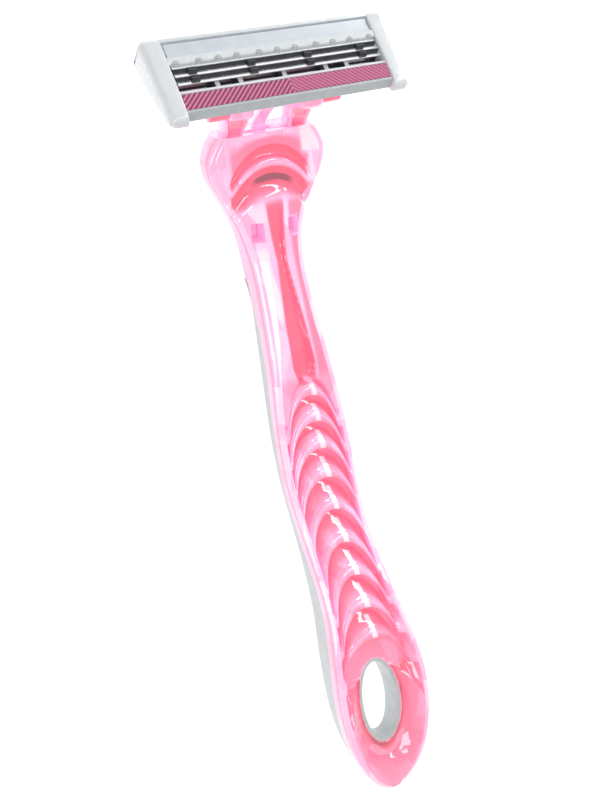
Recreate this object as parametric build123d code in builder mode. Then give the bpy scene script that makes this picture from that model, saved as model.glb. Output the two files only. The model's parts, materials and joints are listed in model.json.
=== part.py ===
"""Cartridge razor with a pivoting three-blade head on a slim translucent handle.

Frame: X along the blades, Y along the handle with the head at +Y, Z up. The razor lies on
its back, blades facing up, on the flat stretch of its back grip. Millimetres.
"""
from build123d import *
import os
from math import cos, radians, sin, tan

# ---- handle, driving dimensions -------------------------------------------------------
tail_y = -74.0               # end of the tail
grip_floor = 0.0             # flat belly that the razor rests on
edge_round = 2.0             # rounding of the handle's long edges
seam_clearance = 0.05        # gap between the pink shell and the white back grip
back_start_y = 31.0          # head end of the back grip, on the neck
back_end_y = -69.5           # tail end of the back grip
back_inset = 0.35            # the back grip's outline sits this far inside the shell's
fin_apexes = (8.3, 3.2, -2.2, -8.0, -14.4, -20.9, -27.2, -33.6, -40.0)
fin_half_width = 7.6         # arch fins are half ellipses, open towards the tail
fin_length = 7.0
fin_thickness = 1.5
fin_leg_thickness = 1.1      # at the foot of the arch, beside the rails
fin_drop = 0.5               # fins stand this far below the top line
rail_width = 1.7             # side rail beside the fins
pocket_head_margin = 1.2     # fin pocket beyond the first and last fin
pocket_tail_margin = 6.0
grip_floor_thickness = 1.1   # pink floor under the fins
hole_y = -54.0               # centre of the hanging hole
hole_length = 17.2
hole_width = 7.6
collar_wall = 0.7            # white collar that lines the hanging hole
collar_top = 10.9
dish_half_width = 6.9        # oval dish round the hanging hole
dish_half_length = 13.2
dish_depth = 2.6
hood_arches = (              # half width, apex along the hood's axis, depth of each step
    (8.2, -2.4, 0.5),
    (6.5, -4.9, 0.9),
    (4.9, -7.3, 1.25),
)
hood_arch_foot = -11.6       # where the arches end, along the hood's axis
neck_groove = ((0.0, 43.0), (1.3, 39.0), (0.8, 32.0), (2.0, 15.0), (1.0, 10.7))
neck_groove_z = 7.1

# ---- hood socket and hub, driving dimensions --------------------------------------------
hub_tilt = 20.0              # the hood's axis rises this many degrees towards the head
mouth_y = 55.0
mouth_z = 10.6
hood_top = 3.0               # hood faces, measured square to its axis
hood_bottom = 3.4
socket_half_width = 6.2
socket_depth = 7.8           # wide part of the socket, for the hub's base
channel_half_width = 4.7     # narrower channel beyond it, for the snap legs
channel_depth = 18.6
socket_low = -1.6
socket_high = 1.1
slide_clearance = 0.1
window_near = -14.6          # snap windows, along the hood's axis
window_far = -17.9
window_inner = 2.3
window_outer = 4.5
base_length = 7.0            # hub base plate inside the socket
plate_lip = 0.3              # the base plate stands this far out of the mouth
arm_inner = 4.0
arm_outer = 8.4              # outer side of an arm at the pivot
arm_foot_outer = 7.4         # and at its foot
arm_foot_inner = 4.6
arm_eye_radius = 1.75        # round end of an arm about the pivot
arm_wall = 1.2               # walls either side of the hollow in an arm's front
peg_radius = 1.0
peg_end = 11.6
peg_root = 0.5               # the pegs start this far inside the arms
tongue_half_width = 1.15
tongue_thickness = 0.5
tongue_tip_v = -7.95         # the leaf's tip, on the face's own axes
tongue_tip_n = -5.2
tongue_slot_margin = 0.25    # gap either side of the tongue's root
tongue_slot_length = 2.0
latch_inner = 2.5
latch_outer = 3.6
latch_tooth = 4.3
latch_flex_gap = 0.15
latch_tooth_rise = 0.4       # the tooth rises from here, past the window's near edge
latch_tooth_start = 0.6      # to its full height here
latch_end_gap = 0.3          # and ends this far short of its far edge
latch_inset = 0.1            # legs are this much thinner than the plate, each face

# ---- cartridge, driving dimensions ------------------------------------------------------
face_tilt = 24.0             # the shaving face leans this far forward from horizontal
face_y = 68.0                # upper edge of the face recess
face_z = 20.5
cartridge_width = 40.8       # at the strip end; the caps taper towards the guard
guard_end_width = 39.4
cap_end_v = -13.2            # the end caps reach this far down the face
cap_corner = 2.0
recess_width = 35.0
rim_height = 0.9             # white bar above the lubricating strip
tenon_v = -4.5               # tenons of the base in the end caps
tenon_height = 4.0
tenon_reach = 1.2
tenon_thickness = 1.2
tenon_clearance = 0.05
blade_angle = 24.0
blade_thickness = 0.12
blade_width = 4.2
blade_length = 34.4
blade_edges = (-4.40, -5.74, -7.08)      # cutting edges, down the face from the recess's upper edge
spacer_recess = 1.15         # spacer fronts stand this far behind the edge below them
bump_reach = 0.5             # spacer bumps reach this much further forward
bump_width = 1.3
bump_places = (-14.2, -4.8, 4.8, 14.2)
pin_places = (-12.0, -4.0, 4.0, 12.0)
pin_radius = 0.35
pin_clearance = 0.05
strip_depth = 2.6            # lubricating strip, down the face
carrier_edge = -3.65
notch_places = (-16.4, -12.8, -9.75, -6.7, -3.05, 0.0, 3.05, 6.7, 9.75, 12.8, 16.4)
notch_radius = 0.62
guard_top = -8.4
guard_bottom = -11.0
fin_ridge_pitch = 1.0
fin_ridge_width = 0.45
fin_ridge_lean = 1.5         # sideways lean of a guard fin across the strip
rib_places = (-11.0, -7.3, 0.0, 7.3, 11.0)
rib_width = 0.7
rinse_v = -7.15              # rinse windows through the floor of the lower gap
rinse_height = 1.5
rinse_windows = (            # centre and width
    (-14.3, 4.6),
    (-9.15, 2.6),
    (-3.65, 5.6),
    (3.65, 5.6),
    (9.15, 2.6),
    (14.3, 4.6),
)
pivot_v = -8.4               # pivot axis on the face's own axes
pivot_n = -6.9
cradle_near = 9.3
cradle_far = 11.0
cradle_radius = 2.0
cradle_lips = (127, 180, 235, 290)       # degrees round the pivot that the snap mouth spans
bearing_clearance = 0.06
cam_v = -8.675               # rib under the base that the return tongue leans on
cam_n = -4.5
cam_height = 3.6
cam_thickness = 1.05
cam_half_width = 1.6

os.makedirs("parts", exist_ok=True)


def save(builder, name):
    """Label a finished piece and write its STEP file."""
    builder.part.label = name
    export_step(builder.part, f"parts/{name}.step")


# ---- reference planes ----------------------------------------------------------------------
face_cos = cos(radians(face_tilt))
face_sin = sin(radians(face_tilt))
side_reach = 15.0            # side profiles are extruded this far each way
side_plane = Plane.YZ.offset(-side_reach)
face_plane = Plane(origin=(0, face_y, face_z), x_dir=(1, 0, 0), z_dir=(0, face_sin, face_cos))
hub_cos = cos(radians(hub_tilt))
hub_sin = sin(radians(hub_tilt))
hub_plane = Plane(origin=(0, mouth_y, mouth_z), x_dir=(1, 0, 0), z_dir=(0, -hub_sin, hub_cos))


def face_section(u):
    """Plane across the cartridge at u: local x runs up the face, local y out of it."""
    origin = face_plane.from_local_coords((u, 0, 0))
    return Plane(origin=origin, x_dir=(0, face_cos, -face_sin), z_dir=(1, 0, 0))


def hub_section(x):
    """Plane across the hub at x: local x runs out of the hood, local y to its front."""
    origin = hub_plane.from_local_coords((x, 0, 0))
    return Plane(origin=origin, x_dir=(0, hub_cos, hub_sin), z_dir=(1, 0, 0))


def hub_point(s, t):
    """Y and Z of a point s out of the hood's mouth and t to its front."""
    return (mouth_y + s * hub_cos - t * hub_sin, mouth_z + s * hub_sin + t * hub_cos)


def face_to_hub(v, n):
    """A point on the face's axes, given on the hub's axes."""
    y = face_y + v * face_cos + n * face_sin - mouth_y
    z = face_z - v * face_sin + n * face_cos - mouth_z
    return (y * hub_cos + z * hub_sin, z * hub_cos - y * hub_sin)


pivot_s, pivot_t = face_to_hub(pivot_v, pivot_n)

# ---- handle outlines -------------------------------------------------------------------------
mouth_top = hub_point(0, hood_top)
mouth_low = hub_point(0, -hood_bottom)
plan_side = [
    (7.0, mouth_low[0] + 0.2),
    (9.0, 53.9),
    (10.8, 50.3),
    (10.2, 47.0),
    (8.0, 43.0),
    (6.1, 38.6),
    (5.1, 33.5),
    (5.0, 27.0),
    (5.75, 16.0),
    (6.8, 4.0),
    (7.2, -6.0),
    (6.9, -17.0),
    (7.0, -28.0),
    (8.4, -39.0),
    (9.5, -48.0),
    (9.5, -56.0),
    (8.1, -63.5),
    (5.6, -69.8),
]
top_line = [
    mouth_top,
    (47.0, 11.2),
    (38.4, 8.9),
    (27.0, 8.2),
    (16.0, 8.4),
    (4.0, 7.6),
    (-8.0, 7.1),
    (-20.0, 8.4),
    (-30.0, 11.4),
    (-40.0, 13.5),
    (-52.0, 13.9),
    (-62.0, 13.2),
    (-69.0, 12.0),
    (tail_y, 10.4),
]
seam_line = [
    (back_start_y, 4.0),
    (22.0, 4.5),
    (10.0, 4.4),
    (-2.0, 3.7),
    (-10.0, 3.5),
    (-20.0, 4.9),
    (-30.0, 8.0),
    (-40.0, 10.2),
    (-52.0, 10.5),
    (-62.0, 10.1),
    (tail_y, 8.6),
]
belly_rise_y = 20.0          # the flat belly runs from here
belly_fall_y = -7.0          # to here
belly_tail = [
    (belly_fall_y, grip_floor),
    (-20.0, 0.5),
    (-30.0, 1.9),
    (-40.0, 3.9),
    (-50.0, 5.2),
    (-60.0, 5.8),
    (tail_y, 6.8),
]
belly_head = [
    mouth_low,
    (47.0, 4.4),
    (38.0, 2.0),
    (30.0, 0.7),
    (belly_rise_y, grip_floor),
]


def shift(points, rise):
    """A side line moved up by rise."""
    return [(y, z + rise) for y, z in points]


def plan_outline(inset=0.0):
    """The handle's outline from above, one spline round the tail, closed at the mouth."""
    right = [(x - inset, y) for x, y in plan_side]
    left = [(inset - x, y) for x, y in reversed(plan_side)]
    with BuildLine() as outline:
        Spline(*right, (0.0, tail_y + inset), *left)
        Line(left[-1], right[0])
    make_face(outline.edges())


def side_region(line, level, tangents=None):
    """Side profile between a side line and a level."""
    with BuildLine() as outline:
        Spline(*line, tangents=tangents)
        Polyline(line[-1], (line[-1][0], level), (line[0][0], level), line[0])
    make_face(outline.edges())


top_tangents = [(-1, -0.3), (-0.6, -1)]
above_all = 25.0             # cuts reach this high
below_all = -1.0

# ---- the handle's outer shape, shared by the shell and the back grip ---------------------------
with BuildPart() as outer_shape:
    with BuildSketch(Plane.XY):
        plan_outline()
    extrude(amount=above_all)
    with BuildSketch(side_plane):
        with BuildLine():
            Spline(*top_line, tangents=top_tangents)
            Line(top_line[-1], belly_tail[-1])
            Spline(*belly_tail, tangents=[(-1, 0), (-1, 0)])
            Line(belly_tail[0], belly_head[-1])
            Spline(*belly_head, tangents=[(-1, -0.45), (-1, 0)])
            Line(mouth_low, mouth_top)
        make_face()
    extrude(amount=2 * side_reach, mode=Mode.INTERSECT)
    walls = outer_shape.faces().filter_by(lambda face: abs(face.normal_at().Z) < 0.01)
    mouth_edges = outer_shape.faces().sort_by(Axis.Y)[-1].edges()
    fillet([edge for edge in walls.edges() if edge not in mouth_edges], edge_round)

# ---- handle_shell: hood, neck, finned grip and tail, one clear pink moulding -------------------
pocket_head_y = fin_apexes[0] + pocket_head_margin
pocket_tail_y = fin_apexes[-1] - pocket_tail_margin
with BuildPart() as grip_pocket:
    with BuildSketch(Plane.XY):
        plan_outline(rail_width)
        with Locations((0, (pocket_head_y + pocket_tail_y) / 2)):
            Rectangle(2 * side_reach, pocket_head_y - pocket_tail_y, mode=Mode.INTERSECT)
    extrude(amount=above_all)
    with BuildSketch(side_plane):
        side_region(shift(seam_line, grip_floor_thickness), above_all)
    extrude(amount=2 * side_reach, mode=Mode.INTERSECT)

with BuildPart() as fins:
    for apex_y in fin_apexes:
        foot_y = apex_y - fin_length
        with BuildSketch(Plane.XY):
            with Locations((0, foot_y)):
                Ellipse(fin_half_width, fin_length)
                Ellipse(fin_half_width - fin_leg_thickness, fin_length - fin_thickness, mode=Mode.SUBTRACT)
            with Locations((0, foot_y + fin_length)):
                Rectangle(2 * side_reach, 2 * fin_length, mode=Mode.INTERSECT)
        extrude(amount=above_all)
    with BuildSketch(side_plane):
        side_region(shift(top_line, -fin_drop), below_all, top_tangents)
    extrude(amount=2 * side_reach, mode=Mode.INTERSECT)
    add(grip_pocket.part, mode=Mode.INTERSECT)

with BuildPart() as dish:
    with BuildSketch(Plane.XY):
        with Locations((0, hole_y)):
            Ellipse(dish_half_width, dish_half_length)
    extrude(amount=above_all)
    with BuildSketch(side_plane):
        side_region(shift(top_line, -dish_depth), above_all, top_tangents)
    extrude(amount=2 * side_reach, mode=Mode.INTERSECT)

tail_margin = 10.0           # blocks that keep or clear the tail reach this far past it
with BuildPart() as handle_shell:
    add(outer_shape.part)
    # room for the white back grip below the seam
    with BuildSketch(side_plane):
        side_region(seam_line, below_all)
        with Locations((back_end_y - tail_margin / 2, 0)):
            Rectangle(tail_margin, 2 * above_all, mode=Mode.SUBTRACT)
    extrude(amount=2 * side_reach, mode=Mode.SUBTRACT)
    add(grip_pocket.part, mode=Mode.SUBTRACT)
    add(dish.part, mode=Mode.SUBTRACT)
    for half_width, apex, depth in hood_arches:
        with BuildSketch(hub_plane.offset(hood_top - depth)):
            with Locations((0, hood_arch_foot)):
                Ellipse(half_width, apex - hood_arch_foot)
            with Locations((0, hood_arch_foot - side_reach)):
                Rectangle(2 * side_reach, 2 * side_reach, mode=Mode.SUBTRACT)
        extrude(amount=side_reach, mode=Mode.SUBTRACT)
    # groove along the middle of the neck
    with BuildSketch(Plane.XY.offset(neck_groove_z)):
        with BuildLine():
            groove_side = Spline(*neck_groove)
            mirror(groove_side, about=Plane.YZ)
            Line(groove_side @ 1, (-neck_groove[-1][0], neck_groove[-1][1]))
        make_face()
    extrude(amount=above_all, mode=Mode.SUBTRACT)
    # socket for the hub and its snap legs, open at the mouth
    with BuildSketch(hub_plane.offset(socket_low)):
        Rectangle(2 * socket_half_width, 2 * socket_depth)
        Rectangle(2 * channel_half_width, 2 * channel_depth)
    extrude(amount=socket_high - socket_low, mode=Mode.SUBTRACT)
    # snap windows through the front wall
    with BuildSketch(hub_plane):
        for side in (-1, 1):
            with Locations((side * (window_inner + window_outer) / 2, (window_near + window_far) / 2)):
                Rectangle(window_outer - window_inner, window_near - window_far)
    extrude(amount=side_reach, mode=Mode.SUBTRACT)
    # hanging hole, cut wide enough for the white collar
    with BuildSketch(Plane.XY.offset(below_all)):
        with Locations((0, hole_y)):
            collar_space = collar_wall + seam_clearance
            Ellipse(hole_width / 2 + collar_space, hole_length / 2 + collar_space)
    extrude(amount=2 * above_all, mode=Mode.SUBTRACT)
    add(fins.part)
save(handle_shell, "handle_shell")

# ---- back_grip: white under shell with the flat belly and the collar of the hanging hole -------
with BuildPart() as back_grip:
    add(outer_shape.part)
    with BuildSketch(Plane.XY.offset(below_all)):
        plan_outline(back_inset)
    extrude(amount=2 * above_all, mode=Mode.INTERSECT)
    with BuildSketch(side_plane):
        side_region(shift(seam_line, -seam_clearance), below_all)
        with Locations((back_end_y + seam_clearance - tail_margin / 2, 0)):
            Rectangle(tail_margin, 2 * above_all, mode=Mode.SUBTRACT)
        with Locations((back_start_y, 0)):
            Rectangle(2 * seam_clearance, 2 * above_all, mode=Mode.SUBTRACT)
    extrude(amount=2 * side_reach, mode=Mode.INTERSECT)
    with BuildSketch(Plane.XY.offset(collar_top)):
        with Locations((0, hole_y)):
            Ellipse(hole_width / 2 + collar_wall, hole_length / 2 + collar_wall)
    extrude(amount=seam_line[-1][1] - 1 - collar_top)
    with BuildSketch(Plane.XY.offset(below_all)):
        with Locations((0, hole_y)):
            Ellipse(hole_width / 2, hole_length / 2)
    extrude(amount=2 * above_all, mode=Mode.SUBTRACT)
save(back_grip, "back_grip")

# ---- hub_yoke: base plate in the hood, two arms and the pivot pegs ------------------------------
plate_low = socket_low + slide_clearance
plate_high = socket_high - slide_clearance
plate_thickness = plate_high - plate_low
arm_side = [                 # side profile of an arm, on the hub's axes
    (0.2, plate_low),
    (2.4, plate_low + 0.4),
    (pivot_s + 1.5, pivot_t - 0.9),
    (pivot_s - 1.2, pivot_t + 1.2),
    (0.2, plate_high),
]
arm_hollow = [
    (1.8, 0.8),
    (pivot_s - 0.3, pivot_t - 0.6),
    (-0.5, 5.0),
]
with BuildPart() as hub_yoke:
    with BuildSketch(hub_plane.offset(plate_low)):
        with Locations((0, (plate_lip - base_length) / 2)):
            Rectangle(2 * (socket_half_width - slide_clearance), base_length + plate_lip)
    extrude(amount=plate_thickness)
    for side in (-1, 1):
        with BuildPart(mode=Mode.PRIVATE) as arm:
            with BuildSketch(hub_section(side * arm_inner)):
                with BuildLine():
                    Polyline(*arm_side, close=True)
                make_face()
                with Locations((pivot_s, pivot_t)):
                    Circle(arm_eye_radius)
            extrude(amount=side * (arm_outer - arm_inner))
            # the arm narrows towards its foot
            with BuildSketch(hub_plane.offset(-side_reach)):
                with BuildLine():
                    Polyline(
                        (side * arm_foot_inner, 0),
                        (side * arm_foot_outer, 0),
                        (side * arm_outer, pivot_s - arm_eye_radius),
                        (side * arm_outer, pivot_s + side_reach),
                        (side * arm_inner, pivot_s + side_reach),
                        (side * arm_inner, pivot_s - arm_eye_radius),
                        close=True,
                    )
                make_face()
            extrude(amount=2 * side_reach, mode=Mode.INTERSECT)
            # hollow in the front of the arm
            with BuildSketch(hub_section(side * (arm_inner + arm_wall))):
                with BuildLine():
                    Polyline(*arm_hollow, close=True)
                make_face()
            extrude(amount=side * (arm_outer - arm_inner - 2 * arm_wall), mode=Mode.SUBTRACT)
        add(arm.part)
        with BuildSketch(hub_section(side * (arm_outer - peg_root))):
            with Locations((pivot_s, pivot_t)):
                Circle(peg_radius)
        extrude(amount=side * (peg_end - arm_outer + peg_root))
    # slot that the return tongue grows out of
    with BuildSketch(hub_plane.offset(plate_low)):
        Rectangle(2 * (tongue_half_width + tongue_slot_margin), tongue_slot_length)
    extrude(amount=plate_thickness, mode=Mode.SUBTRACT)
save(hub_yoke, "hub_yoke")

# ---- return_tongue: flexible leaf that pushes the head back to rest -----------------------------
tongue_side = [              # side profile of the leaf, on the hub's axes
    (-0.9, -0.95),
    (0.9, -0.95),
    (2.75, 1.0),
    face_to_hub(tongue_tip_v + tongue_thickness, tongue_tip_n),
    face_to_hub(tongue_tip_v, tongue_tip_n),
    (2.3, 1.35),
    (0.6, -0.45),
    (-0.9, -0.45),
]
with BuildPart() as return_tongue:
    with BuildSketch(hub_section(-tongue_half_width)):
        with BuildLine():
            Polyline(*tongue_side, close=True)
        make_face()
    extrude(amount=2 * tongue_half_width)
save(return_tongue, "return_tongue")

# ---- latch_left, latch_right: sprung snap legs behind the neck's windows ------------------------
latch_root = -base_length - latch_flex_gap
latch_end = window_far + latch_end_gap
for side, name in ((-1, "latch_left"), (1, "latch_right")):
    with BuildPart() as latch:
        with BuildSketch(hub_plane.offset(plate_low + latch_inset)):
            with BuildLine():
                Polyline(
                    (side * latch_inner, latch_root),
                    (side * latch_outer, latch_root),
                    (side * latch_outer, window_near - latch_tooth_rise),
                    (side * latch_tooth, window_near - latch_tooth_start),
                    (side * latch_outer, latch_end),
                    (side * latch_inner, latch_end),
                    close=True,
                )
            make_face()
        extrude(amount=plate_thickness - 2 * latch_inset)
    save(latch, name)

# ---- cap_frame: white top bar and end caps -------------------------------------------------------
cap_side = [                 # side profile of an end cap, on the face's axes
    (rim_height, -0.3),
    (rim_height, -4.4),
    (0.3, -5.0),
    (-3.6, -4.9),
    (-9.2, -3.5),
    (-12.6, -2.0),
    (-12.9, -0.9),
    (-12.4, 0.1),
    (-11.0, 0.35),
    (0.5, 0.1),
]
through_low = -8.0           # cuts across the cartridge start at this level
through = 12.0               # and go this far
with BuildPart() as cap_frame:
    with BuildSketch(face_section(-cartridge_width / 2)):
        with BuildLine():
            Polyline(*cap_side, close=True)
        make_face()
    extrude(amount=cartridge_width)
    with BuildSketch(face_plane.offset(through_low)) as cap_plan:
        with BuildLine():
            Polyline(
                (-cartridge_width / 2, rim_height),
                (cartridge_width / 2, rim_height),
                (guard_end_width / 2, cap_end_v),
                (-guard_end_width / 2, cap_end_v),
                close=True,
            )
        make_face()
        fillet(cap_plan.vertices(), cap_corner)
    extrude(amount=through, mode=Mode.INTERSECT)
    with BuildSketch(face_plane.offset(through_low)):
        with Locations((0, -side_reach)):
            Rectangle(recess_width, 2 * side_reach)
    extrude(amount=through, mode=Mode.SUBTRACT)
    # pockets for the base's tenons
    tenon_low = -4.1
    with BuildSketch(face_plane.offset(tenon_low - tenon_clearance)):
        with Locations((0, tenon_v)):
            pocket_margin = 2 * tenon_clearance
            Rectangle(recess_width + 2 * tenon_reach + pocket_margin, tenon_height + pocket_margin)
    extrude(amount=tenon_thickness + 2 * tenon_clearance, mode=Mode.SUBTRACT)
save(cap_frame, "cap_frame")


# ---- blade stack geometry -------------------------------------------------------------------------
slope = tan(radians(blade_angle))
blade_cos = cos(radians(blade_angle))
blade_sin = sin(radians(blade_angle))
half_rise = blade_thickness / 2 / blade_cos
layer_gap = 0.01             # layers of the stack stay this far apart
step_gap = 0.35              # the seat's steps clear the backs of the spacers
seat_gap = 0.05              # between the base and the pieces that it holds
blade_back = [edge + blade_width * blade_cos for edge in blade_edges]
pin_along = -2.85


def blade_under(edge, v):
    """Level of the seat under the blade with this edge, at v up the face."""
    return -(v - edge) * slope - half_rise - layer_gap


def blade_over(edge, v):
    """Level just above the blade with this edge, at v up the face."""
    return -(v - edge) * slope + half_rise + layer_gap


def blade_plane(edge, rise):
    """Plane of a blade, raised by rise: local x along u, local y from the edge to the back."""
    origin = face_plane.from_local_coords((0, edge + rise * blade_sin, rise * blade_cos))
    normal_y = blade_sin * face_cos + blade_cos * face_sin
    normal_z = blade_cos * face_cos - blade_sin * face_sin
    return Plane(origin=origin, x_dir=(1, 0, 0), z_dir=(0, normal_y, normal_z))


def pin_offset(edge):
    """Distance of the pins from a blade's cutting edge, along the blade."""
    return pin_along - edge * blade_cos


# ---- cartridge_base: platform, stepped blade seat, guard ledge and pivot cradles ------------------
seat_back = blade_back[0] - seat_gap
upper_step = blade_back[1] + step_gap
lower_step = blade_back[2] + step_gap
seat_front = -6.2            # the lower gap, between the seat and the guard ledge
gap_floor = -2.4
gap_front = -8.0
ledge_n = -1.75              # the guard bar sits on this ledge
ledge_front = -11.1
base_side = [                # side profile, on the face's axes
    (-seat_gap, -4.5),
    (-seat_gap, -2.35),
    (seat_back, -2.35),
    (seat_back, blade_under(blade_edges[0], blade_back[0])),
    (upper_step, blade_under(blade_edges[0], upper_step)),
    (upper_step, blade_under(blade_edges[1], upper_step)),
    (lower_step, blade_under(blade_edges[1], lower_step)),
    (lower_step, blade_under(blade_edges[2], lower_step)),
    (seat_front, blade_under(blade_edges[2], seat_front)),
    (seat_front, gap_floor),
    (gap_front, gap_floor),
    (gap_front, -seat_gap),
    (guard_top + seat_gap, -seat_gap),
    (guard_top + seat_gap, ledge_n),
    (ledge_front, ledge_n),
    (ledge_front, -2.45),
    (-9.2, -3.3),
    (-3.6, -4.4),
]
cradle_foot = [              # bracket between the base and a cradle
    (pivot_v - 1.2, -2.6),
    (pivot_v - 1.2, pivot_n + 1.2),
    (pivot_v + 2.0, pivot_n),
    (pivot_v + 3.0, -2.9),
]
lip_reach = 2 * cradle_radius
snap_mouth = [(pivot_v, pivot_n)]
for lip in cradle_lips:
    snap_mouth.append((pivot_v + lip_reach * cos(radians(lip)), pivot_n + lip_reach * sin(radians(lip))))
rib_v = -7.1
rib_n = -1.6
rib_size = 1.8
pin_hole_depth = 3.5
with BuildPart() as cartridge_base:
    with BuildSketch(face_section(-recess_width / 2)):
        with BuildLine():
            Polyline(*base_side, close=True)
        make_face()
    extrude(amount=recess_width)
    # white ribs across the lower gap
    for place in rib_places:
        with BuildSketch(face_section(place - rib_width / 2)):
            with Locations((rib_v, rib_n)):
                Rectangle(rib_size, rib_size)
        extrude(amount=rib_width)
    # rinse windows through the floor of the lower gap
    with BuildSketch(face_plane.offset(through_low)):
        for place, width in rinse_windows:
            with Locations((place, rinse_v)):
                Rectangle(width, rinse_height)
    extrude(amount=rib_n + rib_size / 2 - through_low, mode=Mode.SUBTRACT)
    # tenons that the end caps hold
    with BuildSketch(face_plane.offset(tenon_low)):
        with Locations((0, tenon_v)):
            Rectangle(recess_width + 2 * tenon_reach, tenon_height)
    extrude(amount=tenon_thickness)
    # pin holes, square to the blades
    with BuildSketch(blade_plane(blade_edges[2], -pin_hole_depth)):
        for place in pin_places:
            with Locations((place, pin_offset(blade_edges[2]))):
                Circle(pin_radius + pin_clearance)
    extrude(amount=2 * pin_hole_depth, mode=Mode.SUBTRACT)
    # cam rib that the return tongue leans on
    with BuildSketch(face_section(-cam_half_width)):
        with Locations((cam_v, cam_n)):
            Rectangle(cam_thickness, cam_height)
    extrude(amount=2 * cam_half_width)
    # snap cradles for the pivot pegs
    for near, far in ((-cradle_far, -cradle_near), (cradle_near, cradle_far)):
        with BuildSketch(face_section(near)):
            with Locations((pivot_v, pivot_n)):
                Circle(cradle_radius)
            with BuildLine():
                Polyline(*cradle_foot, close=True)
            make_face()
            with Locations((pivot_v, pivot_n)):
                Circle(peg_radius + bearing_clearance, mode=Mode.SUBTRACT)
            with BuildLine(mode=Mode.PRIVATE) as opening:
                Polyline(*snap_mouth, close=True)
            make_face(opening.edges(), mode=Mode.SUBTRACT)
        extrude(amount=far - near)
save(cartridge_base, "cartridge_base")

# ---- blade_1 .. blade_3: steel blades on the stack's pins -----------------------------------------
for number, edge in enumerate(blade_edges, start=1):
    with BuildPart() as blade:
        with BuildSketch(blade_plane(edge, -blade_thickness / 2)):
            with Locations((0, blade_width / 2)):
                Rectangle(blade_length, blade_width)
            for place in pin_places:
                with Locations((place, pin_offset(edge))):
                    Circle(pin_radius + pin_clearance, mode=Mode.SUBTRACT)
        extrude(amount=blade_thickness)
    save(blade, f"blade_{number}")

# ---- blade_spacer_1, blade_spacer_2: black spacers with forward bumps -----------------------------
for number in (1, 2):
    edge = blade_edges[number]
    gap = (blade_edges[number - 1] - edge) * blade_sin - blade_thickness
    with BuildPart() as spacer:
        with BuildSketch(blade_plane(edge, blade_thickness / 2 + layer_gap)):
            with Locations((0, (spacer_recess + blade_width) / 2)):
                Rectangle(blade_length, blade_width - spacer_recess)
            for place in bump_places:
                with Locations((place, spacer_recess)):
                    Rectangle(bump_width, 2 * bump_reach)
            for place in pin_places:
                with Locations((place, pin_offset(edge))):
                    Circle(pin_radius + pin_clearance, mode=Mode.SUBTRACT)
        extrude(amount=gap - 2 * layer_gap)
    save(spacer, f"blade_spacer_{number}")

# ---- strip_carrier: cap over the blades with the scalloped edge and the stack's pins --------------
carrier_floor = -0.45        # floor of the lubricating strip's tray
carrier_back = blade_back[0] + seat_gap
carrier_heel = -2.3
carrier_side = [             # side profile, on the face's axes
    (carrier_edge, blade_over(blade_edges[0], carrier_edge)),
    (carrier_back, blade_over(blade_edges[0], carrier_back)),
    (carrier_back, carrier_heel),
    (-seat_gap, carrier_heel),
    (-seat_gap, carrier_floor),
    (-strip_depth, carrier_floor),
    (-strip_depth, 0.2),
    (carrier_edge + 0.12, 0.12),
    (carrier_edge, 0.0),
]
pin_start = -1.6             # the pins run this far below the lowest blade
pin_length = 2.85
with BuildPart() as strip_carrier:
    with BuildSketch(face_section(-recess_width / 2 + seat_gap)):
        with BuildLine():
            Polyline(*carrier_side, close=True)
        make_face()
    extrude(amount=recess_width - 2 * seat_gap)
    with BuildSketch(face_plane.offset(carrier_floor)):
        for place in notch_places:
            with Locations((place, carrier_edge - 0.1)):
                Circle(notch_radius)
    extrude(amount=1, mode=Mode.SUBTRACT)
    with BuildSketch(blade_plane(blade_edges[2], pin_start)):
        for place in pin_places:
            with Locations((place, pin_offset(blade_edges[2]))):
                Circle(pin_radius)
    extrude(amount=pin_length)
save(strip_carrier, "strip_carrier")

# ---- lubricating_strip ----------------------------------------------------------------------------
strip_top = 0.15
strip_sag = -0.02            # the strip's surface is slightly hollow
strip_front = -strip_depth + seat_gap
with BuildPart() as lubricating_strip:
    with BuildSketch(face_section(-recess_width / 2 + 2 * seat_gap)):
        with BuildLine():
            Polyline(
                (-seat_gap, strip_top),
                (-seat_gap, carrier_floor),
                (strip_front, carrier_floor),
                (strip_front, strip_top),
            )
            ThreePointArc((strip_front, strip_top), (-strip_depth / 2, strip_sag), (-seat_gap, strip_top))
        make_face()
    extrude(amount=recess_width - 4 * seat_gap)
save(lubricating_strip, "lubricating_strip")

# ---- guard_bar: grey bar below the blades ----------------------------------------------------------
guard_floor = -0.7           # floor of the guard strip's tray
guard_under = ledge_n + seat_gap
guard_side = [
    (guard_top, guard_under),
    (guard_top, guard_floor),
    (guard_bottom, guard_floor),
    (guard_bottom, 0.0),
    (guard_bottom - 0.35, 0.0),
    (guard_bottom - 0.75, guard_under),
]
with BuildPart() as guard_bar:
    with BuildSketch(face_section(-recess_width / 2 + seat_gap)):
        with BuildLine():
            Polyline(*guard_side, close=True)
        make_face()
    extrude(amount=recess_width - 2 * seat_gap)
save(guard_bar, "guard_bar")

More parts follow.
